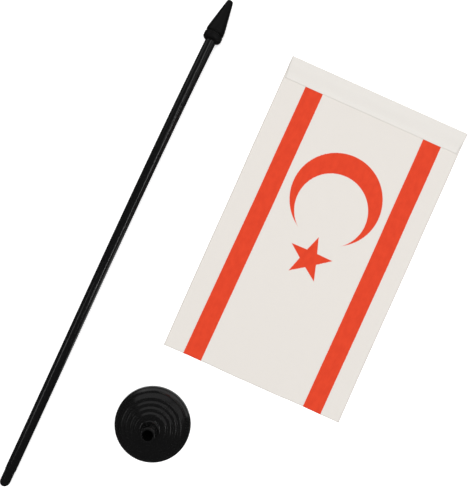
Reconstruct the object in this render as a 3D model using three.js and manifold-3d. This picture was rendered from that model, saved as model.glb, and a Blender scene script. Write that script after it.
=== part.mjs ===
// Desk flag stand, laid out as a kit on a table: a moulded base with a socket, a rod with a
// spear-tip cap, and a small flag with an open rod sleeve.
// Millimetres, +Z up. The origin is the middle of the base's underside, on the table.
import * as THREE from "three";
import { mergeVertices } from "three/addons/utils/BufferGeometryUtils.js";
import Module from "manifold-3d";

const wasm = await Module();
wasm.setup();

// ---------------------------------------------------------------- driving dimensions

const GAP = 0.3; // between two pieces that touch

const base = {
  radius: 27.6,
  rimHeight: 3.2, // edge that stands on the table
  rimLean: 0.15, // how far the rim leans in over its height
  rimRound: 0.5,
  rimLedge: 0.6, // flat between the rim and the skirt
  shoulder: { radius: 21.3, height: 9.8 }, // top of the domed skirt
  rings: 3, // steps inside the shoulder
  ringPitch: 3.5, // from one step edge to the next
  ringRise: 1.4, // height gained at each step
  treadRise: 0.15, // how far a tread climbs
  riserRun: 1.5, // width of the slope up to each step edge
  ringEase: 0.5, // how far each step edge is cut back
  wall: 1.9,
  skirtLean: 0.8, // of the inside of the rim
  height: 25.7, // table to socket mouth
  bossRadius: 5.35, // at the socket mouth
  bossDraft: 0.35, // how much wider the boss is at its foot
  bossFlare: 2.2, // fillet where the boss meets the top step
  mouthRound: 0.5,
  socketFloor: 2.0,
  stemRadius: 5.6, // socket tube inside the shell
  ribs: 6,
  ribThickness: 1.4,
  ribLift: 1.0, // ribs stop this far above the table
};

const rod = {
  radius: 3.9,
  exposed: 353.1, // foot end to the underside of the cap's collar
  plugLength: 11.5, // reduced foot that goes into the socket
  plugStep: 0.25, // how far the plug is cut in from the rod's surface
  shoulderLength: 1.4, // cone from the plug up to the full rod
  grip: 11, // length inside the cap
  topChamfer: 0.6,
};

const fit = {
  socket: 0.1, // radial clearance, foot plug in the base's socket
  sleeve: 0.2, // radial clearance, rod in the opened-out sleeve
};

const cap = {
  collarRadius: 6.75,
  collarLength: 5.1,
  collarRound: 2.1, // underside edge
  collarTopRound: 0.7,
  grooveWidth: 1.1,
  grooveDepth: 1.1,
  pointInset: 0.12, // the point's foot is this much smaller in radius than the collar
  pointEdge: 0.3, // bevel round the point's foot
  neckLength: 2.5, // nearly parallel start of the point
  neckTaper: 0.05,
  pointLength: 23.3,
  tipRadius: 2.1,
};

const flag = {
  hoist: 139.3, // across, along the sleeve
  length: 230.0, // folded sleeve edge to cut fly edge
  cloth: 0.5,
  seamAllowance: 2.7, // flap beyond the stitch line
  tunnelHeight: 0.8, // how far the empty sleeve stands open
  threadRadius: 0.2,
};

// Where the loose pieces lie on the table.
const poleFoot = new THREE.Vector2(-107.8, -43.3);
const poleHeading = THREE.MathUtils.degToRad(64.75); // of the tip, from +X
const flagMiddle = new THREE.Vector2(118.4, 134.25);
const flagTurn = THREE.MathUtils.degToRad(-24.11); // of the hoist edge, from +X

// ---------------------------------------------------------------- derived fits

const plugRadius = rod.radius - rod.plugStep;
const socketRadius = plugRadius + fit.socket;
const capBore = rod.radius + GAP;
const collarWall = cap.collarRadius - capBore;
// The underside round leaves a flat ring of collar beside the rod.
const collarRound = Math.min(cap.collarRound, collarWall - GAP);
// A tube of cloth round the rod, pressed flat, is half its girth wide.
const tunnelWidth = Math.PI * (rod.radius + fit.sleeve);
const stitchLine = tunnelWidth + 2 * flag.cloth;
const flapEdge = stitchLine + flag.seamAllowance;

// ---------------------------------------------------------------- geometry helpers

const BASE_SEGMENTS = 64;
const ROD_SEGMENTS = 32;
const CAP_SEGMENTS = 40;

const point = (x, y) => new THREE.Vector2(x, y);

// Points along a quarter-like arc about a centre, from one angle to another, in degrees.
function arc(centreX, centreY, radius, from, to, steps) {
  const points = [];
  for (let i = 0; i <= steps; i++) {
    const angle = THREE.MathUtils.degToRad(from + ((to - from) * i) / steps);
    points.push(point(centreX + radius * Math.cos(angle), centreY + radius * Math.sin(angle)));
  }
  return points;
}

// A profile of (radius, height) points turned about +Z. The profile runs upwards on its outer side.
function turned(profile, segments) {
  const geometry = new THREE.LatheGeometry(profile, segments);
  return geometry.rotateX(Math.PI / 2); // lathe axis Y becomes Z
}

function solidOf(geometry) {
  const bare = geometry.clone();
  bare.deleteAttribute("normal");
  bare.deleteAttribute("uv");
  const merged = mergeVertices(bare, 1e-4);
  return new wasm.Manifold(
    new wasm.Mesh({
      numProp: 3,
      vertProperties: new Float32Array(merged.attributes.position.array),
      triVerts: new Uint32Array(merged.index.array),
    }),
  );
}

function geometryOf(solid) {
  const mesh = solid.getMesh();
  const geometry = new THREE.BufferGeometry();
  geometry.setAttribute("position", new THREE.BufferAttribute(mesh.vertProperties, 3));
  geometry.setIndex(new THREE.BufferAttribute(mesh.triVerts, 1));
  geometry.computeVertexNormals();
  return geometry;
}

function named(name, geometry, material) {
  const mesh = new THREE.Mesh(geometry, material);
  mesh.name = name;
  return mesh;
}

// ---------------------------------------------------------------- materials

const blackPlastic = new THREE.MeshStandardMaterial({ color: 0x0c0c0d, roughness: 0.3 });
const flagCloth = new THREE.MeshStandardMaterial({ color: 0xe8e4de, roughness: 0.85 });
const whiteThread = new THREE.MeshStandardMaterial({ color: 0xf4f2ee, roughness: 0.7 });

// ---------------------------------------------------------------- base

// Edge of step i, counted from the shoulder inwards: 0 is the shoulder itself.
function stepEdge(i) {
  return point(base.shoulder.radius - i * base.ringPitch, base.shoulder.height + i * base.ringRise);
}

function baseOuterProfile() {
  const { radius, rimHeight, rimLean, rimRound, shoulder, rings, ringEase } = base;
  const rimTop = radius - rimLean;
  const points = [
    point(radius, 0),
    point(rimTop + (rimLean * rimRound) / rimHeight, rimHeight - rimRound),
    point(rimTop - rimRound, rimHeight),
  ];
  // Domed skirt: a quarter of an ellipse from the rim up to the shoulder.
  const skirtFoot = rimTop - base.rimLedge;
  const skirtTop = shoulder.radius - ringEase;
  for (let i = 1; i <= 7; i++) {
    const angle = (i / 7) * (Math.PI / 2);
    points.push(
      point(
        skirtTop + (skirtFoot - skirtTop) * Math.cos(angle),
        rimHeight + (shoulder.height - rimHeight) * Math.sin(angle),
      ),
    );
  }
  // Each tread climbs gently to the foot of a slope, which leads up to the next step edge.
  for (let i = 1; i <= rings; i++) {
    const edge = stepEdge(i);
    const foot = point(edge.x + base.riserRun, stepEdge(i - 1).y + base.treadRise);
    const slope = foot.clone().sub(edge).normalize();
    points.push(foot, edge.clone().addScaledVector(slope, ringEase), point(edge.x - ringEase, edge.y));
  }
  return points;
}

function bossProfile() {
  const { bossRadius, bossDraft, bossFlare, mouthRound, height } = base;
  const deck = stepEdge(base.rings).y + base.treadRise;
  const bossFoot = bossRadius + bossDraft;
  const points = arc(bossFoot + bossFlare, deck + bossFlare, bossFlare, 270, 180, 4);
  points.push(...arc(bossRadius - mouthRound, height - mouthRound, mouthRound, 0, 90, 3));
  return points;
}

function baseInnerProfile() {
  const { radius, wall, rimHeight, shoulder, rings, stemRadius } = base;
  const top = stepEdge(rings);
  return [
    point(stemRadius, 0),
    point(stemRadius, top.y - wall),
    point(top.x, top.y - wall),
    point(shoulder.radius - wall, shoulder.height - wall),
    point(radius - wall - base.skirtLean, rimHeight),
    point(radius - wall, 0),
  ];
}

function baseRibs() {
  const { ribs, ribThickness, ribLift, radius, wall, shoulder, stemRadius } = base;
  const top = stepEdge(base.rings);
  // Each rib is a plate in the XZ plane, buried half a wall deep in the shell and in the stem.
  const into = wall / 2;
  const plate = new THREE.Shape([
    point(stemRadius - into, ribLift),
    point(radius - into, ribLift),
    point(radius - into - base.skirtLean, base.rimHeight),
    point(shoulder.radius - wall, shoulder.height - into),
    point(top.x, top.y - into),
    point(stemRadius - into, top.y - into),
  ]);
  const slab = new THREE.ExtrudeGeometry(plate, { depth: ribThickness, bevelEnabled: false });
  slab.translate(0, 0, -ribThickness / 2).rotateX(Math.PI / 2);
  const solids = [];
  for (let i = 0; i < ribs; i++) {
    solids.push(solidOf(slab.clone().rotateZ((i * 2 * Math.PI) / ribs)));
  }
  return solids;
}

function makeBase() {
  const outside = [
    ...baseOuterProfile(),
    ...bossProfile(),
    point(socketRadius + base.mouthRound, base.height),
    point(socketRadius, base.height - base.mouthRound),
    point(socketRadius, base.socketFloor),
    point(0, base.socketFloor),
  ];
  const inside = [point(0, 0), ...baseInnerProfile()];
  const shell = solidOf(turned([...inside, ...outside], BASE_SEGMENTS));
  const whole = baseRibs().reduce((joined, rib) => joined.add(rib), shell);
  return named("base", geometryOf(whole), blackPlastic);
}

// ---------------------------------------------------------------- rod and cap

function makeRod() {
  const { radius, exposed, plugLength, shoulderLength, grip, topChamfer } = rod;
  const length = exposed + grip;
  const profile = [
    point(0, 0),
    ...arc(0, plugRadius, plugRadius, -90, 0, 6).slice(1),
    point(plugRadius, plugLength),
    point(radius, plugLength + shoulderLength),
    point(radius, length - topChamfer),
    point(radius - topChamfer, length),
    point(0, length),
  ];
  return named("rod", turned(profile, ROD_SEGMENTS), blackPlastic);
}

// The cap's own frame starts at its collar's underside.
function makeCap() {
  const c = cap;
  const topRound = c.collarTopRound;
  const pointRadius = c.collarRadius - c.pointInset;
  const grooveRadius = c.collarRadius - c.grooveDepth;
  const grooveFoot = c.collarLength;
  const grooveTop = grooveFoot + c.grooveWidth;
  const coneFoot = grooveTop + c.neckLength;
  const tipCentre = coneFoot + c.pointLength - c.tipRadius;
  const flank = THREE.MathUtils.radToDeg(Math.atan2(pointRadius - c.tipRadius, c.pointLength));
  const boreEnd = rod.grip + GAP;
  const profile = [
    point(0, boreEnd),
    point(capBore - rod.topChamfer, boreEnd),
    point(capBore, boreEnd - rod.topChamfer),
    point(capBore, 0),
    ...arc(c.collarRadius - collarRound, collarRound, collarRound, -90, 0, 4),
    ...arc(c.collarRadius - topRound, grooveFoot - topRound, topRound, 0, 90, 2),
    point(grooveRadius, grooveFoot),
    point(grooveRadius, grooveTop),
    point(pointRadius - c.pointEdge, grooveTop),
    point(pointRadius, grooveTop + c.pointEdge),
    point(pointRadius - c.neckTaper, coneFoot),
    ...arc(0, tipCentre, c.tipRadius, flank, 90, 4),
  ];
  profile[profile.length - 1].x = 0;
  return named("spear_tip", turned(profile, CAP_SEGMENTS), blackPlastic);
}

// Rod and cap lie on the table, touching it at the rod's foot shoulder and at the collar.
function layPole() {
  const collarContact = rod.exposed + collarRound;
  const shoulderContact = rod.plugLength + rod.shoulderLength;
  const climb = Math.asin((cap.collarRadius - rod.radius) / (collarContact - shoulderContact));
  const pole = new THREE.Group();
  const spearTip = makeCap();
  spearTip.position.z = rod.exposed;
  pole.add(makeRod(), spearTip);
  const footHeight = rod.radius / Math.cos(climb) - shoulderContact * Math.sin(climb);
  pole.position.set(poleFoot.x, poleFoot.y, footHeight);
  pole.rotation.order = "ZYX";
  pole.rotation.set(0, Math.PI / 2 - climb, poleHeading);
  return pole;
}

// ---------------------------------------------------------------- flag

// Section of the cloth across the sleeve: x runs from the folded hoist edge towards the fly,
// y is height. The flap turns back over the panel and is sewn down past the tunnel.
function flagSection() {
  const { cloth, length, tunnelHeight } = flag;
  const top = 2 * cloth + tunnelHeight;
  const round = top / 2;
  const section = new THREE.Shape([
    point(length, 0),
    point(length, cloth),
    point(flapEdge, cloth),
    point(flapEdge, 2 * cloth),
    point(stitchLine, 2 * cloth),
    point(stitchLine - 2 * tunnelHeight, top),
    ...arc(round, round, round, 90, 270, 8),
  ]);
  const bore = round - cloth;
  section.holes.push(
    new THREE.Path([
      ...arc(round, round, bore, 90, 270, 8),
      point(stitchLine - cloth, cloth),
      point(stitchLine - cloth - 2 * tunnelHeight, top - cloth),
    ]),
  );
  return section;
}

function makeFlag() {
  const { hoist, length, cloth, threadRadius } = flag;
  const cloths = new THREE.ExtrudeGeometry(flagSection(), { depth: hoist, bevelEnabled: false });
  const thread = new THREE.CylinderGeometry(threadRadius, threadRadius, hoist, 8);
  const threadHeight = 2 * cloth + GAP + threadRadius;
  thread.rotateX(Math.PI / 2).translate(stitchLine + 2 * threadRadius, threadHeight, hoist / 2);
  const sewn = new THREE.Group();
  sewn.add(named("flag_cloth", cloths, flagCloth), named("seam_thread", thread, whiteThread));
  // Section x becomes "down the flag", section y becomes up, and the extrusion runs across it.
  sewn.rotation.set(Math.PI / 2, 0, 0);
  sewn.position.set(-length / 2, hoist / 2, 0);
  const laid = new THREE.Group();
  laid.add(sewn);
  laid.position.set(flagMiddle.x, flagMiddle.y, 0);
  laid.rotation.z = flagTurn - Math.PI / 2;
  return laid;
}

// ---------------------------------------------------------------- assembly

const kit = new THREE.Group();
kit.add(makeBase(), layPole(), makeFlag());

export default kit;
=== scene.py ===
import math

import bmesh
import bpy
import numpy as np
from mathutils import Matrix, Vector, noise


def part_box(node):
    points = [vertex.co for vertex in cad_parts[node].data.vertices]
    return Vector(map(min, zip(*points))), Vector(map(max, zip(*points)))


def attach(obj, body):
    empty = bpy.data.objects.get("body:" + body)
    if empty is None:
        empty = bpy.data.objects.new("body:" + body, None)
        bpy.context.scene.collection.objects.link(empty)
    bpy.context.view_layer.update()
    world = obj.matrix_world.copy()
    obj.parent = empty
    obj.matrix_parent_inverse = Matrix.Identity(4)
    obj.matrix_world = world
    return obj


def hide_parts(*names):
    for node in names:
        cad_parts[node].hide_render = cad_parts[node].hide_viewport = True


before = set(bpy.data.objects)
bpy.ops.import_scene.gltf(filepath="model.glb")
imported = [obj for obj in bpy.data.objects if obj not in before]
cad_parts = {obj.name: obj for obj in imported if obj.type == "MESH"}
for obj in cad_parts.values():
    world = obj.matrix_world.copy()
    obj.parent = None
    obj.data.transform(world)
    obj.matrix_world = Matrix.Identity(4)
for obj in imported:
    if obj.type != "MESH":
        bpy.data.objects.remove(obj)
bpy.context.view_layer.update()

MM = 0.001
TAU = 2 * math.pi
scene = bpy.context.scene


# ------------------------------------------------------------------ sizes, in millimetres

TABLE_VIEW_HEIGHT = 400  # camera above the table
VIEW_MIDDLE = (59.05, 130.78)  # of the layout, from the base's middle
VIEW_LENGTH = 355.5  # of table along the picture's long side

BASE_RADIUS = 27.6
RIM_HEIGHT, RIM_LEAN, RIM_LEDGE = 3.2, 0.15, 0.6
SKIRT_BULGE = (2.0, 4.0, 7.0)  # in from the rim's ledge, up from it, and its round
SHOULDER = (21.3, 9.8)  # radius and height of the top of the domed skirt
RING_PITCH, RING_RISE, RINGS = 3.5, 1.4, 3
RISER_RUN = 1.5  # each ring slopes up to the next over this width
TREAD_RISE = 0.15  # of a ring's top, inwards
BASE_WALL = 1.9
MOUTH_HEIGHT = 25.7
BOSS_RADIUS = 5.35
BOSS_DRAFT = 0.35
SOCKET_RADIUS = 3.75
SOCKET_FLOOR = 2.0
STEM_RADIUS = 5.6
RIBS, RIB_THICKNESS, RIB_LIFT, RIB_ROUND = 6, 1.4, 1.0, 0.3

ROD_RADIUS = 3.9
PLUG_RADIUS = 3.65
PLUG_LENGTH = 11.5
PLUG_SHOULDER = 1.4
ROD_BOW = (1.45, 8.7)  # how it strays from straight, most at two thirds of its length

COLLAR_RADIUS, COLLAR_LENGTH, COLLAR_ROUND = 6.75, 5.1, 2.1
GROOVE_WIDTH, GROOVE_DEPTH = 1.1, 1.1
POINT_RADIUS, NECK_LENGTH, POINT_LENGTH, TIP_RADIUS = 6.63, 2.5, 23.3, 2.1
CONE_ROUND = 20.0  # where the neck runs into the cone
CAP_BORE, CAP_BORE_LENGTH = 4.3, 11.3
SEAM_TURN = 35  # degrees round the cap from the table's level to the mould's parting line
SEAM_WIDTH, SEAM_HEIGHT = 0.22, 0.09

CLOTH = 0.25  # thickness
CLOTH_LEVEL = CLOTH * 0.6  # of the cloth's middle above the table
LAYER_GAP = 0.03  # between the flap and the cloth below it
FOLD_RADIUS = 0.42
STITCH_LINE = 13.8  # from the folded edge
FLAP_EDGE = 16.6
FLAP_INSET = 1.3  # how far the flap's corners stand in from the flag's sides
FLAP_LIFT = 0.08  # of the flap's loose edge
TUNNEL_RISE = 0.75  # of the empty sleeve
WAVE_RISE = 0.75  # of the open cloth's slow waves
CALM_STRETCH = 40  # below the sleeve, over which the waves grow
EDGE_CURL, EDGE_CURL_WIDTH = 0.25, 2.5
PUCKER, PUCKER_WIDTH = 0.05, 1.1  # beside the stitches
FLY_STRETCH = 40  # before the fly edge, over which its ragged cut begins
SIDE_STRETCH = 60  # below the sleeve, over which the sides begin to stray

STITCH_PITCH = 2.8
STITCH_GAP = 0.18  # from a stitch's end to the middle of its needle hole
STITCH_SUNK = 0.28  # how far a stitch's ends go into the cloth
SEAM_MARGIN = 1.5  # unstitched, both ends together
THREAD_RADIUS = 0.14

WEAVE_PITCH = 0.42

STRIPE_EDGES = ((17.65, 31.5), (111.5, 125.65))  # across the hoist, near the sleeve
STRIPE_DRIFT = ((-2.2, -1.95), (-0.75, -0.9))  # how far each edge has strayed at the fly
STRIPE_BOW = 0.3
DRIFT_START, DRIFT_LENGTH = 25, 200  # the stretch along the flag over which the edges stray
PRINT_START = 15.4
PRINT_BLUR, PRINT_WANDER = 0.55, 0.5  # of the print's edges
CRESCENT = (71.5, 82.8, 34.0)  # middle across and along the flag, and radius
CRESCENT_BITE = (71.45, 91.6, 26.95)
STAR = (71.05, 130.1)
STAR_TIP, STAR_NOTCH = 17.1, 6.85  # radii of its points and of the corners between them


# ------------------------------------------------------------------ places, from the frame


def corners_of(node):
    return np.array([v.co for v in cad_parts[node].data.vertices])


def long_axis(node, towards):
    """Both ends of a long thin node's middle line, the second one nearer to another node."""
    points = corners_of(node)
    middle = (points.min(0) + points.max(0)) / 2
    direction = np.linalg.svd(points - points.mean(0), full_matrices=False)[2][0]
    low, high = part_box(towards)
    if direction @ (np.array((low + high) / 2) - middle) < 0:
        direction = -direction
    along = (points - middle) @ direction
    return Vector(middle + direction * along.min()), Vector(middle + direction * along.max())


def place(origin, across, up):
    """A matrix that carries local X to across and local Z to up."""
    up = up.normalized()
    side = up.cross(across).normalized()
    return Matrix.Translation(origin) @ Matrix((side.cross(up), side, up)).transposed().to_4x4()


base_low, base_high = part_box("base")
base_middle = Vector(((base_low.x + base_high.x) / 2, (base_low.y + base_high.y) / 2, base_low.z))
rod_foot, rod_top = long_axis("rod", towards="spear_tip")
rod_direction = (rod_top - rod_foot).normalized()
ROD_LENGTH = (rod_top - rod_foot).length / MM
cap_points = (corners_of("spear_tip") - np.array(rod_foot)) @ np.array(rod_direction)
ROD_EXPOSED = cap_points.min() / MM  # foot end to the cap's collar

flag_points = corners_of("flag_cloth")
seam_points = corners_of("seam_thread")
seam_axis = np.linalg.svd(seam_points - seam_points.mean(0), full_matrices=False)[2][0]
hoistward = Vector(seam_axis if seam_axis[0] > 0 else -seam_axis).normalized()
flyward = Vector((0, 0, 1)).cross(-hoistward)
FLAG_ACROSS = np.ptp(flag_points @ np.array(hoistward)) / MM
FLAG_DOWN = np.ptp(flag_points @ np.array(flyward)) / MM
flag_corner = (
    hoistward * (flag_points @ np.array(hoistward)).min()
    + flyward * (flag_points @ np.array(flyward)).min()
)


# ------------------------------------------------------------------ mesh helpers


def rounded(corners, per_quarter=8):
    """An outline's points. Each corner is (x, y) or (x, y, round), and a round becomes an arc."""
    spots = [Vector(c[:2]) for c in corners]
    points = []
    for i, corner in enumerate(corners):
        here = spots[i]
        if len(corner) < 3:
            points.append(here)
            continue
        back = (spots[i - 1] - here).normalized()
        on = (spots[i + 1] - here).normalized()
        half = back.angle(on) / 2
        centre = here + (back + on).normalized() * corner[2] / math.sin(half)
        first = here + back * corner[2] / math.tan(half) - centre
        turn = math.pi - 2 * half
        if back.x * on.y - back.y * on.x > 0:
            turn = -turn
        steps = max(2, math.ceil(per_quarter * abs(turn) / (math.pi / 2)))
        points += [centre + Matrix.Rotation(turn * k / steps, 2) @ first for k in range(steps + 1)]
    return points


def subdivided(outline, longest):
    """The same outline with no stretch longer than that."""
    points = [outline[0]]
    for a, b in zip(outline, outline[1:]):
        parts = max(1, math.ceil((b - a).length / longest))
        points += [a.lerp(b, k / parts) for k in range(1, parts + 1)]
    return points


def spun(outline, steps):
    """A solid turned about Z from an outline of (radius, height) with both ends on the axis."""
    solid = bmesh.new()
    chain = [solid.verts.new((x, 0, y)) for x, y in outline]
    edges = [solid.edges.new(pair) for pair in zip(chain, chain[1:])]
    bmesh.ops.spin(
        solid,
        geom=chain + edges,
        cent=(0, 0, 0),
        axis=(0, 0, 1),
        angle=TAU,
        steps=steps,
        use_merge=True,
    )
    bmesh.ops.remove_doubles(solid, verts=solid.verts, dist=1e-4)
    bmesh.ops.recalc_face_normals(solid, faces=solid.faces)
    return solid


def wrap_map(solid, length):
    """A UV map round a turned solid: U goes round it and V along it, from 0 to 1."""
    layer = solid.loops.layers.uv.new("wrap")
    for face in solid.faces:
        middle = face.calc_center_median()
        middle_turn = math.atan2(middle.y, middle.x)
        for loop in face.loops:
            spot = loop.vert.co
            turn = math.atan2(spot.y, spot.x) if spot.xy.length > 1e-3 else middle_turn
            turn -= TAU * round((turn - middle_turn) / TAU)
            loop[layer].uv = (turn / TAU + 0.5, spot.z / length)


def piece(name, solid, matrix, finish, body, stands_for):
    """Turns a bmesh in millimetres into a finished object that rides on a body."""
    bmesh.ops.transform(solid, matrix=matrix @ Matrix.Scale(MM, 4), verts=solid.verts)
    mesh = bpy.data.meshes.new(name)
    solid.to_mesh(mesh)
    solid.free()
    return dressed(name, mesh, [finish], body, stands_for)


def dressed(name, mesh, finishes, body, stands_for, sharp=40):
    """Turns a placed mesh into a finished object. Edges that bend by more than that stay sharp."""
    mesh.shade_smooth()
    mesh.set_sharp_from_angle(angle=math.radians(sharp))
    thing = bpy.data.objects.new(name, mesh)
    scene.collection.objects.link(thing)
    for finish in finishes:
        mesh.materials.append(finish)
    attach(thing, body)
    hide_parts(stands_for)
    return thing


# ------------------------------------------------------------------ shader helpers


class Number:
    """A value that runs through a material's nodes, with Python's own arithmetic."""

    def __init__(self, finish, socket):
        self.finish = finish
        self.socket = socket

    def maths(self, operation, *others):
        return self.finish.add("ShaderNodeMath", {"operation": operation}, [self, *others])

    def reflected(self, operation, first):
        return self.finish.add("ShaderNodeMath", {"operation": operation}, [first, self])

    def __add__(self, other):
        return self.maths("ADD", other)

    def __sub__(self, other):
        return self.maths("SUBTRACT", other)

    def __mul__(self, other):
        return self.maths("MULTIPLY", other)

    def __truediv__(self, other):
        return self.maths("DIVIDE", other)

    def __pow__(self, other):
        return self.maths("POWER", other)

    __radd__ = __add__
    __rmul__ = __mul__

    def __rsub__(self, other):
        return self.reflected("SUBTRACT", other)

    def __rtruediv__(self, other):
        return self.reflected("DIVIDE", other)

    def __rpow__(self, other):
        return self.reflected("POWER", other)

    def __neg__(self):
        return self * -1

    def __abs__(self):
        return self.maths("ABSOLUTE")

    def root(self):
        return self.maths("SQRT")

    def least(self, other):
        return self.maths("MINIMUM", other)

    def most(self, other):
        return self.maths("MAXIMUM", other)

    def above(self, edge, blur):
        """0 below the edge and 1 above it, blurred over that width."""
        return self.finish.add(
            "ShaderNodeMapRange",
            {"interpolation_type": "SMOOTHSTEP"},
            {"Value": self, "From Min": edge - blur / 2, "From Max": edge + blur / 2},
        )


class Finish:
    """One material: its surface shader, and a method that adds any node."""

    def __init__(self, name, **surface):
        self.material = bpy.data.materials.new(name)
        self.material.use_nodes = True
        self.nodes = self.material.node_tree.nodes
        self.links = self.material.node_tree.links
        self.surface = self.nodes["Principled BSDF"]
        self.set(**surface)

    def feed(self, socket, value):
        """Links a socket to a value from other nodes, or sets it to a plain one."""
        if isinstance(value, Number):
            self.links.new(value.socket, socket)
        else:
            socket.default_value = value

    def set(self, **values):
        """Sets or links the surface shader's sockets, named with underscores for spaces."""
        for name, value in values.items():
            self.feed(self.surface.inputs[name.replace("_", " ")], value)

    def add(self, kind, settings=None, values=(), output=0):
        """Adds any node: its settings first, then its sockets in order or by name."""
        node = self.nodes.new(kind)
        for name, value in (settings or {}).items():
            setattr(node, name, value)
        pairs = values.items() if isinstance(values, dict) else enumerate(values)
        for name, value in pairs:
            self.feed(node.inputs[name], value)
        return Number(self, node.outputs[output])

    def place(self):
        return self.add("ShaderNodeTexCoord", output="Object")

    def on_surface(self, name):
        """The two numbers of a piece's own UV map."""
        place = self.add("ShaderNodeUVMap", {"uv_map": name}, output="UV")
        node = self.add("ShaderNodeSeparateXYZ", values=[place]).socket.node
        return Number(self, node.outputs["X"]), Number(self, node.outputs["Y"])

    def joined(self, x, y):
        return self.add("ShaderNodeCombineXYZ", values=[x, y])

    def noise(self, where, scale, detail):
        values = {"Vector": where, "Scale": scale, "Detail": detail}
        return self.add("ShaderNodeTexNoise", values=values)

    def mix(self, factor, first, second):
        """A colour between two others, by the colour sockets of a Mix node."""
        factor_socket, first_socket, second_socket, colour_output = 0, 6, 7, 2
        values = {factor_socket: factor, first_socket: first, second_socket: second}
        return self.add("ShaderNodeMix", {"data_type": "RGBA"}, values, output=colour_output)

    def bump(self, height, depth):
        """Relief from a height, of which 1 stands for that depth in metres."""
        values = {"Height": height, "Distance": depth}
        self.set(Normal=self.add("ShaderNodeBump", values=values))


# ------------------------------------------------------------------ materials

BLACK = (0.0052, 0.0052, 0.0053, 1)
SCUFFED_BLACK = (0.011, 0.011, 0.0112, 1)


def black_plastic(name, roughness, mirror=0.5):
    """Moulded black plastic: nearly smooth, a little uneven, with fine scuffs and dust."""
    finish = Finish(name, Specular_IOR_Level=mirror)
    where = finish.place()
    clouds = finish.noise(where, scale=90, detail=3)
    grain = finish.noise(where, scale=2600, detail=1)
    dust = finish.noise(where, scale=1500, detail=0).above(0.8, blur=0.05)
    stretch = {"Vector": where, "Scale": (140, 2400, 500)}
    streaks = finish.noise(finish.add("ShaderNodeMapping", values=stretch), scale=1, detail=2)
    scratches = streaks.above(0.7, blur=0.1) * clouds.above(0.52, blur=0.2)
    marks = (scratches * 0.6 + dust).least(1.0)
    finish.set(
        Base_Color=finish.mix(marks, BLACK, SCUFFED_BLACK),
        Roughness=roughness + clouds * 0.10 + marks * 0.22,
    )
    finish.bump(clouds * 0.6 + grain * 0.06 - marks * 0.05, depth=0.00004)
    return finish


def rod_plastic():
    """Drawn black plastic: faint lines run the length of the rod."""
    finish = black_plastic("drawn_black_plastic", roughness=0.1)
    around, along = finish.on_surface("wrap")
    lines = finish.noise(finish.joined(around * 130, along * 5), scale=1, detail=2)
    waves = finish.noise(finish.joined(around * 5, along * 36), scale=1, detail=1)
    finish.bump(lines * 0.5 + waves * 1.5, depth=0.00005)
    return finish.material


CLOTH_WHITE = (0.800, 0.762, 0.717, 1)
CLOTH_SHADE = (0.765, 0.726, 0.679, 1)
PRINT_RED = (0.805, 0.069, 0.0255, 1)
PRINT_SHADE = (0.700, 0.052, 0.020, 1)
BACK_WHITE = (0.808, 0.778, 0.738, 1)
BACK_SHADE = (0.772, 0.742, 0.701, 1)
BACK_PRINT = (0.800, 0.150, 0.085, 1)
BACK_COVER = 0.82  # share of the ink that comes through to the back
THREAD_WHITE = (0.86, 0.85, 0.82, 1)
THREAD_SHADE = (0.72, 0.71, 0.68, 1)


def disc(across, down, circle):
    """How far inside a circle a point of the cloth is, in millimetres."""
    x, y, radius = circle
    return radius - ((across - x) ** 2 + (down - y) ** 2).root()


def star(across, down):
    """How far inside the star a point of the cloth is. One of its tips points at the sleeve."""
    x, y = across - STAR[0], STAR[1] - down
    turn = x.maths("ARCTAN2", y)
    fifth = TAU / 5
    folded = abs((turn + TAU + fifth / 2).maths("MODULO", fifth) - fifth / 2)
    reach = (x * x + y * y).root()
    notch = Vector((math.cos(fifth / 2), math.sin(fifth / 2))) * STAR_NOTCH
    edge = notch - Vector((STAR_TIP, 0))
    outward = Vector((edge.y, -edge.x)).normalized()
    depth = outward.x * STAR_TIP
    return depth - reach * (folded.maths("COSINE") * outward.x + folded.maths("SINE") * outward.y)


def printed(finish):
    """The flag's print as a mask: two stripes down the flag, and a crescent and star between."""
    u, v = finish.on_surface("strip")
    ragged = (finish.noise(finish.joined(u, v), scale=260, detail=1) - 0.5) * PRINT_WANDER
    across = u * FLAG_ACROSS + ragged
    down = v * STRIP_LENGTH - STRIP_FOLD + ragged
    inside = []
    for (left, right), (left_drift, right_drift) in zip(STRIPE_EDGES, STRIPE_DRIFT):
        share = (down - DRIFT_START) / DRIFT_LENGTH
        bow = share * (1 - share) * 4 * STRIPE_BOW
        from_left = across - share * left_drift - bow - left
        from_right = share * right_drift + bow + right - across
        inside.append(from_left.least(from_right))
    inside.append(disc(across, down, CRESCENT).least(-disc(across, down, CRESCENT_BITE)))
    inside.append(star(across, down))
    nearest = inside[0]
    for other in inside[1:]:
        nearest = nearest.most(other)
    return nearest.above(0.0, blur=PRINT_BLUR) * down.above(PRINT_START, blur=0.4)


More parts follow.
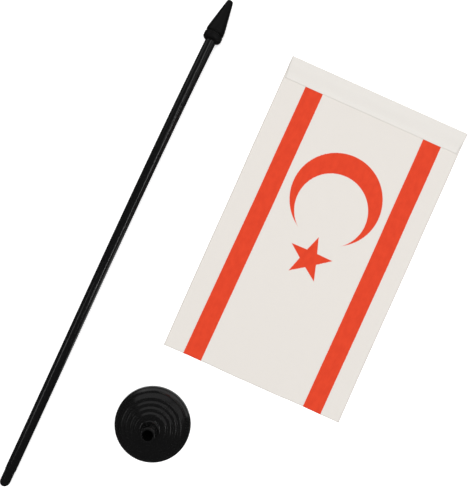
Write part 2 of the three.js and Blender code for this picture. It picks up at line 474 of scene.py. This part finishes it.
def flag_cloth_finish(name, back):
    """Thin plain-woven polyester. The back shows the same print, paler."""
    finish = Finish(name, Specular_IOR_Level=0.25, Sheen_Weight=0.12, Sheen_Roughness=0.5)
    u, v = finish.on_surface("strip")
    across, down = u * FLAG_ACROSS, v * STRIP_LENGTH
    warp = (across * (TAU / WEAVE_PITCH)).maths("SINE")
    weft = (down * (TAU / WEAVE_PITCH)).maths("SINE")
    weave = (warp * weft) * 0.5 + 0.5
    slub = finish.noise(finish.joined(across * 0.12, down * 2.2), scale=1, detail=2)
    slub_across = finish.noise(finish.joined(across * 2.2, down * 0.12), scale=1, detail=2)
    cloudy = finish.noise(finish.joined(u, v), scale=38, detail=3)
    shade = weave * 0.35 + slub * 0.35 + slub_across * 0.3
    white, grey, ink = CLOTH_WHITE, CLOTH_SHADE, PRINT_RED
    if back:
        white, grey, ink = BACK_WHITE, BACK_SHADE, BACK_PRINT
    ground = finish.mix(shade * 0.9, white, grey)
    uneven = (shade * 0.5 + cloudy.above(0.5, blur=0.5) * 0.55).least(1.0)
    inked = finish.mix(uneven, ink, PRINT_SHADE)
    cover = printed(finish) * (BACK_COVER if back else 1.0)
    finish.set(Base_Color=finish.mix(cover, ground, inked), Roughness=0.82 - weave * 0.06)
    finish.bump(weave * 0.5 + slub * 0.3 + slub_across * 0.3, depth=0.00005)
    return finish.material


def thread_finish():
    """White spun thread, shaded where it twists."""
    finish = Finish("white_thread", Specular_IOR_Level=0.3)
    twist = finish.noise(finish.place(), scale=4200, detail=1)
    colour = finish.mix(twist, THREAD_WHITE, THREAD_SHADE)
    finish.set(Base_Color=colour, Roughness=0.5 + twist * 0.2)
    finish.bump(twist, depth=0.00004)
    return finish.material


# ------------------------------------------------------------------ base


def base_outline():
    """The moulding's section, from the middle of its underside out and over to the socket floor."""
    shoulder_radius, shoulder_height = SHOULDER
    bulge_in, bulge_up, bulge_round = SKIRT_BULGE
    deck = shoulder_height + RINGS * RING_RISE
    top_edge = shoulder_radius - RINGS * RING_PITCH
    rim_top = BASE_RADIUS - RIM_LEAN
    skirt = rim_top - RIM_LEDGE
    inside = [
        (0, 0),
        (STEM_RADIUS, 0, 0.3),
        (STEM_RADIUS, deck - BASE_WALL, 0.8),
        (top_edge, deck - BASE_WALL, 2.0),
        (shoulder_radius - BASE_WALL, shoulder_height - BASE_WALL, 2.0),
        (rim_top - BASE_WALL, RIM_HEIGHT, 1.0),
        (BASE_RADIUS - BASE_WALL, 0, 0.2),
    ]
    rim = [
        (BASE_RADIUS, 0, 0.3),
        (rim_top, RIM_HEIGHT, 0.7),
        (skirt, RIM_HEIGHT, 0.25),
        (skirt - bulge_in, RIM_HEIGHT + bulge_up, bulge_round),
        (shoulder_radius, shoulder_height, 1.5),
    ]
    steps = []
    for i in range(1, RINGS + 1):
        edge = shoulder_radius - i * RING_PITCH
        before = shoulder_height + (i - 1) * RING_RISE
        steps += [(edge + RISER_RUN, before + TREAD_RISE, 0.4), (edge, before + RING_RISE, 1.3)]
    boss = [
        (BOSS_RADIUS + BOSS_DRAFT, deck + TREAD_RISE, 2.2),
        (BOSS_RADIUS, MOUTH_HEIGHT, 0.8),
        (SOCKET_RADIUS, MOUTH_HEIGHT, 0.3),
        (SOCKET_RADIUS, SOCKET_FLOOR, 0.4),
        (0, SOCKET_FLOOR),
    ]
    return subdivided(rounded(inside + rim + steps + boss), longest=1.6)


def add_ribs(solid):
    """Plates under the deck, from the socket's stem out to the rim."""
    shoulder_radius, shoulder_height = SHOULDER
    into = BASE_WALL / 2
    top = shoulder_radius - RINGS * RING_PITCH
    deck = shoulder_height + RINGS * RING_RISE - into
    outline = rounded(
        [
            (STEM_RADIUS - into, RIB_LIFT),
            (BASE_RADIUS - into, RIB_LIFT),
            (BASE_RADIUS - into - RIM_LEDGE, RIM_HEIGHT),
            (shoulder_radius - BASE_WALL, shoulder_height - into),
            (top, deck),
            (STEM_RADIUS - into, deck),
        ]
    )
    for i in range(RIBS):
        plate = bmesh.new()
        chain = [plate.verts.new((x, -RIB_THICKNESS / 2, y)) for x, y in outline]
        edges = [plate.edges.new(pair) for pair in zip(chain, chain[1:] + chain[:1])]
        side = bmesh.ops.edgeloop_fill(plate, edges=edges)["faces"]
        grown = bmesh.ops.extrude_face_region(plate, geom=side)["geom"]
        moved = [v for v in grown if isinstance(v, bmesh.types.BMVert)]
        bmesh.ops.translate(plate, vec=(0, RIB_THICKNESS, 0), verts=moved)
        bmesh.ops.recalc_face_normals(plate, faces=plate.faces)
        lower = [e for e in plate.edges if all(v.co.z < RIB_LIFT + 0.01 for v in e.verts)]
        bmesh.ops.bevel(
            plate,
            geom=lower,
            offset=RIB_ROUND,
            segments=3,
            profile=0.5,
            affect="EDGES",
            material=-1,
        )
        bmesh.ops.rotate(plate, matrix=Matrix.Rotation(TAU * i / RIBS, 3, "Z"), verts=plate.verts)
        scrap = bpy.data.meshes.new("rib")
        plate.to_mesh(scrap)
        plate.free()
        solid.from_mesh(scrap)
        bpy.data.meshes.remove(scrap)


def make_base():
    finish = black_plastic("moulded_black_plastic", roughness=0.16)
    solid = spun(base_outline(), steps=160)
    add_ribs(solid)
    return piece(
        "moulded_base",
        solid,
        Matrix.Translation(base_middle),
        finish.material,
        "base",
        "base",
    )


# ------------------------------------------------------------------ rod and its cap


def pole_place():
    """The rod's own frame: Z from its foot to its top, and X level, to the right of it."""
    across = rod_direction.cross(Vector((0, 0, 1)))
    return place(rod_foot, across, rod_direction)


def bow(spot):
    """How far to the right the rod has strayed at a spot along it. Below 0 is to the left."""
    share = spot / (ROD_EXPOSED + COLLAR_LENGTH + NECK_LENGTH + POINT_LENGTH)
    return -(ROD_BOW[0] * share + ROD_BOW[1] * share**2) * (1 - share)


def bend(solid, lift=0.0):
    """Moves a turned solid up the pole and gives it the pole's bow."""
    for vert in solid.verts:
        vert.co.z += lift
        vert.co.x += bow(vert.co.z)


def make_rod():
    outline = rounded(
        [
            (0, 0),
            (PLUG_RADIUS, 0, PLUG_RADIUS - 0.05),
            (PLUG_RADIUS, PLUG_LENGTH, 0.8),
            (ROD_RADIUS, PLUG_LENGTH + PLUG_SHOULDER, 0.8),
            (ROD_RADIUS, ROD_LENGTH, 0.5),
            (0, ROD_LENGTH),
        ]
    )
    solid = spun(subdivided(outline, longest=3), steps=96)
    wrap_map(solid, ROD_LENGTH)
    bend(solid)
    return piece("drawn_rod", solid, pole_place(), rod_plastic(), "pole", "rod")


def raise_mould_seam(solid):
    """The two halves of the mould leave a fine raised line down each side of the cap."""
    for vert in solid.verts:
        radius = vert.co.xy.length
        if radius <= CAP_BORE + 0.3 and vert.co.z <= CAP_BORE_LENGTH + 0.5:
            continue  # the bore has none
        turn = math.atan2(vert.co.y, vert.co.x) - math.radians(SEAM_TURN)
        off = abs(math.sin(turn)) * radius
        grown = 1 + SEAM_HEIGHT * math.exp(-((off / SEAM_WIDTH) ** 2)) / max(radius, 1)
        vert.co.x *= grown
        vert.co.y *= grown


def make_cap():
    groove = COLLAR_LENGTH + GROOVE_WIDTH
    cone = groove + NECK_LENGTH
    tip = cone + POINT_LENGTH
    outline = rounded(
        [
            (0, CAP_BORE_LENGTH),
            (CAP_BORE, CAP_BORE_LENGTH, 0.5),
            (CAP_BORE, 0),
            (COLLAR_RADIUS, 0, COLLAR_ROUND),
            (COLLAR_RADIUS, COLLAR_LENGTH, 0.7),
            (COLLAR_RADIUS - GROOVE_DEPTH, COLLAR_LENGTH, 0.25),
            (COLLAR_RADIUS - GROOVE_DEPTH, groove, 0.25),
            (POINT_RADIUS, groove, 0.35),
            (POINT_RADIUS - 0.05, cone, CONE_ROUND),
            (TIP_RADIUS, tip, TIP_RADIUS * 0.8),
            (0, tip),
        ]
    )
    solid = spun(subdivided(outline, longest=1.2), steps=160)
    raise_mould_seam(solid)
    bend(solid, lift=ROD_EXPOSED)
    finish = black_plastic("satin_black_plastic", roughness=0.3, mirror=0.16)
    return piece(
        "spear_cap", solid, pole_place(), finish.material, "pole", "spear_tip"
    )


# ------------------------------------------------------------------ flag

FOLD_ARC = math.pi * FOLD_RADIUS
STRIP_FOLD = FLAP_EDGE + FOLD_ARC / 2 - FOLD_RADIUS  # cut edge of the flap to the fold line
STRIP_LENGTH = FLAP_EDGE - FOLD_RADIUS + FOLD_ARC + FLAG_DOWN - FOLD_RADIUS


def smooth(share):
    """Eases from 0 to 1, level at both ends."""
    share = min(1.0, max(0.0, share))
    return share * share * (3 - 2 * share)


def wander(seed, x, y=0.0):
    """A smooth value from -1 to 1 that changes over about one unit of x or y."""
    return noise.noise(Vector((x + 31.7 * seed, y - 17.3 * seed, 4.1 * seed)))


def panel_height(across, down):
    """The open cloth lies nearly flat, in low slow waves that die away at the sleeve."""
    swell = 0.5 + 0.6 * wander(1, across / 75, down / 95) + 0.25 * wander(2, across / 32, down / 40)
    edge = min(across, FLAG_ACROSS - across, FLAG_DOWN - down)
    curl = EDGE_CURL * math.exp(-max(edge, 0) / EDGE_CURL_WIDTH)
    curl *= 0.5 + wander(3, across / 22, down / 22)
    open_cloth = smooth((down - FLAP_EDGE) / CALM_STRETCH)
    return CLOTH_LEVEL + max(0.0, WAVE_RISE * swell * open_cloth) + max(0.0, curl)


def seam_pucker(across, down):
    """The stitches draw the layers down a little and leave ripples beside the seam."""
    near = math.exp(-(((down - STITCH_LINE) / PUCKER_WIDTH) ** 2))
    return -PUCKER * near * (1 + math.cos(TAU * across / STITCH_PITCH)) / 2


def flap_height(across, down):
    """The turned-over layer, from its cut edge over the empty tunnel to the fold."""
    under = panel_height(across, down)
    if down > STITCH_LINE:
        loose = (down - STITCH_LINE) / (FLAP_EDGE - STITCH_LINE)
        lift = FLAP_LIFT * loose * (1 + wander(5, across / 9))
        return under + CLOTH + LAYER_GAP + max(0.0, lift) + seam_pucker(across, down)
    share = down / STITCH_LINE
    mouth = math.exp(-min(across, FLAG_ACROSS - across) / 5)
    slack = 1 + 0.35 * wander(4, across / 26) + 0.8 * mouth
    arch = math.sin(math.pi * share**0.8) ** 1.5 if 0 < share < 1 else 0
    level = 2 * FOLD_RADIUS + (CLOTH + LAYER_GAP - 2 * FOLD_RADIUS) * smooth(share)
    crease = 0.12 * wander(6, across / 14, down / 6) * math.sin(math.pi * share)
    return under + level + TUNNEL_RISE * slack * arch + crease + seam_pucker(across, down)


def cloth_spot(across, strip):
    """Where a point of the flat strip lies once it is folded: across, down and height.

    The strip is measured across the hoist, and down from the flap's cut edge.
    """
    turn_starts = FLAP_EDGE - FOLD_RADIUS
    turn_ends = turn_starts + FOLD_ARC
    if strip < turn_starts:
        down = FLAP_EDGE - strip
        inset = FLAP_INSET * down / FLAP_EDGE
        across = FLAG_ACROSS / 2 + (across - FLAG_ACROSS / 2) * (1 - 2 * inset / FLAG_ACROSS)
        return across, down, flap_height(across, down)
    if strip < turn_ends:
        angle = (strip - turn_starts) / FOLD_RADIUS
        level = panel_height(across, 0) + FOLD_RADIUS
        height = level + FOLD_RADIUS * math.cos(angle)
        return across, FOLD_RADIUS * (1 - math.sin(angle)), height
    down = FOLD_RADIUS + strip - turn_ends
    share = smooth((down - FLAG_DOWN + FLY_STRETCH) / FLY_STRETCH)
    cut = 0.45 * wander(7, across / 30) + 0.15 * wander(8, across / 7)
    side = smooth((down - FLAP_EDGE) / SIDE_STRETCH) * 0.35 * wander(9, down / 60)
    return across + side, down + share * cut, panel_height(across, down)


def lay(across, down, height):
    """A point of the flag in the frame that all pieces share."""
    return flag_corner + (hoistward * across + flyward * down + Vector((0, 0, height))) * MM


def strip_reach(share):
    """How far down the strip a share of the rows reaches: the sleeve's rows lie closer together."""
    sleeve_rows = 0.3  # share of them all
    sleeve_reach = FLAP_EDGE * 2 + FOLD_ARC + 3
    if share < sleeve_rows:
        return sleeve_reach * share / sleeve_rows
    rest = STRIP_LENGTH - sleeve_reach
    return sleeve_reach + rest * (share - sleeve_rows) / (1 - sleeve_rows)


def make_flag():
    strip = bmesh.new()
    bmesh.ops.create_grid(strip, x_segments=112, y_segments=340, size=0.5)
    layer = strip.loops.layers.uv.new("strip")
    for face in strip.faces:
        for loop in face.loops:
            along = strip_reach(0.5 - loop.vert.co.y)
            loop[layer].uv = (loop.vert.co.x + 0.5, along / STRIP_LENGTH)
    for vert in strip.verts:
        u, v = vert.link_loops[0][layer].uv
        vert.co = lay(*cloth_spot(u * FLAG_ACROSS, v * STRIP_LENGTH))
    mesh = bpy.data.meshes.new("printed_flag")
    strip.to_mesh(mesh)
    strip.free()
    finishes = [
        flag_cloth_finish("printed_cloth_face", back=False),
        flag_cloth_finish("printed_cloth_back", back=True),
    ]
    flag = dressed("printed_flag", mesh, finishes, "flag", "flag_cloth", sharp=60)
    body = flag.modifiers.new("thickness", "SOLIDIFY")
    body.thickness = CLOTH * MM
    body.offset = 0
    body.material_offset = 1
    return flag


def make_stitches():
    """Lockstitch: short beads of thread on the flap, each with its ends sunk into the cloth."""
    curve = bpy.data.curves.new("stitches", "CURVE")
    curve.dimensions = "3D"
    curve.bevel_depth = THREAD_RADIUS * MM
    curve.bevel_resolution = 1
    curve.use_fill_caps = True
    count = int((FLAG_ACROSS - 2 * FLAP_INSET - SEAM_MARGIN) / STITCH_PITCH)
    start = (FLAG_ACROSS - count * STITCH_PITCH) / 2
    parts = 5
    for i in range(count):
        left = start + i * STITCH_PITCH + STITCH_GAP
        right = start + (i + 1) * STITCH_PITCH - STITCH_GAP
        line = curve.splines.new("POLY")
        line.points.add(parts)
        for k, point in enumerate(line.points):
            share = k / parts
            across = left + (right - left) * share
            down = STITCH_LINE + 0.12 * wander(10, i * 1.7) + 0.05 * (share - 0.5)
            sunk = 0.0 if 0 < k < parts else STITCH_SUNK
            top = flap_height(across, down) + CLOTH / 2 + THREAD_RADIUS * 0.55 - sunk
            point.co = (*lay(across, down, top), 1)
    run = bpy.data.objects.new("stitches", curve)
    scene.collection.objects.link(run)
    bpy.context.view_layer.update()
    mesh = bpy.data.meshes.new_from_object(run)
    bpy.data.objects.remove(run)
    return dressed(
        "sleeve_stitches", mesh, [thread_finish()], "flag", "seam_thread", sharp=60
    )


# ------------------------------------------------------------------ table, light and camera


TABLE_WHITE = (0.85, 0.85, 0.85, 1)
TABLE_GLOW = (0.5, 0.5, 0.5, 1)
WORLD_LIGHT = 0.03


def make_table():
    """White and lit from within a little, and left out of reflections."""
    plane = bmesh.new()
    bmesh.ops.create_grid(plane, x_segments=1, y_segments=1, size=4)
    mesh = bpy.data.meshes.new("table")
    plane.to_mesh(mesh)
    plane.free()
    finish = Finish("white_table", Base_Color=TABLE_WHITE, Roughness=0.7)
    finish.set(Emission_Color=TABLE_GLOW, Emission_Strength=1.0)
    mesh.materials.append(finish.material)
    table = bpy.data.objects.new("table", mesh)
    table.location = (VIEW_MIDDLE[0] * MM, VIEW_MIDDLE[1] * MM, base_low.z)
    table.visible_glossy = False
    scene.collection.objects.link(table)


def softbox(name, spot, size, brightness, back=None, seen_in_gloss=True):
    """A rectangular light at a spot measured in metres from the middle of the layout.

    It faces that middle, or away from the direction of its back if that is given, and a
    brightness of 1 is white.
    """
    lamp = bpy.data.lights.new(name, "AREA")
    lamp.shape = "RECTANGLE"
    lamp.size, lamp.size_y = size
    lamp.energy = brightness * math.pi * size[0] * size[1]
    box = bpy.data.objects.new(name, lamp)
    middle = Vector((*VIEW_MIDDLE, 0)) * MM
    box.location = middle + Vector(spot)
    box.rotation_euler = Vector(back or spot).to_track_quat("Z", "Y").to_euler()
    box.visible_glossy = seen_in_gloss
    box.visible_camera = False
    scene.collection.objects.link(box)


def make_light():
    """A wide box overhead, two walls of light, three strips, and a glow on the base's rim."""
    world = bpy.data.worlds.new("studio")
    world.use_nodes = True
    sky = world.node_tree.nodes["Background"]
    sky.inputs["Color"].default_value = (1, 1, 1, 1)
    sky.inputs["Strength"].default_value = WORLD_LIGHT
    scene.world = world
    softbox("overhead", (0, 0, 1.6), (1.8, 1.8), 2.97, seen_in_gloss=False)
    softbox("far", (-0.1, 1.25, 0.8), (2.7, 0.9), 0.41)
    softbox("right_wall", (1.3, 0.35, 0.8), (1.2, 0.9), 0.35)
    softbox("left", (-0.87, -0.18, 1.0), (0.5, 0.12), 3.2)
    softbox("right", (0.9, -0.5, 1.0), (0.7, 0.08), 9)
    softbox("upper_right", (0.36, 0.2, 1.0), (0.5, 0.1), 3)
    softbox("table_glow", (-0.038, -0.072, -0.02), (0.13, 0.11), 0.65, back=(0, 0, -1))


def make_camera():
    """Looks straight down at the middle of the layout."""
    lens = bpy.data.cameras.new("camera")
    lens.sensor_width = 36
    lens.lens = lens.sensor_width * TABLE_VIEW_HEIGHT / VIEW_LENGTH
    lens.clip_start = 0.01
    camera = bpy.data.objects.new("camera", lens)
    camera.location = Vector((*VIEW_MIDDLE, TABLE_VIEW_HEIGHT)) * MM
    scene.collection.objects.link(camera)
    scene.camera = camera
    scene.view_settings.view_transform = "Standard"


make_table()
make_light()
make_camera()
make_base()
make_rod()
make_cap()
flag = make_flag()
stitches = make_stitches()
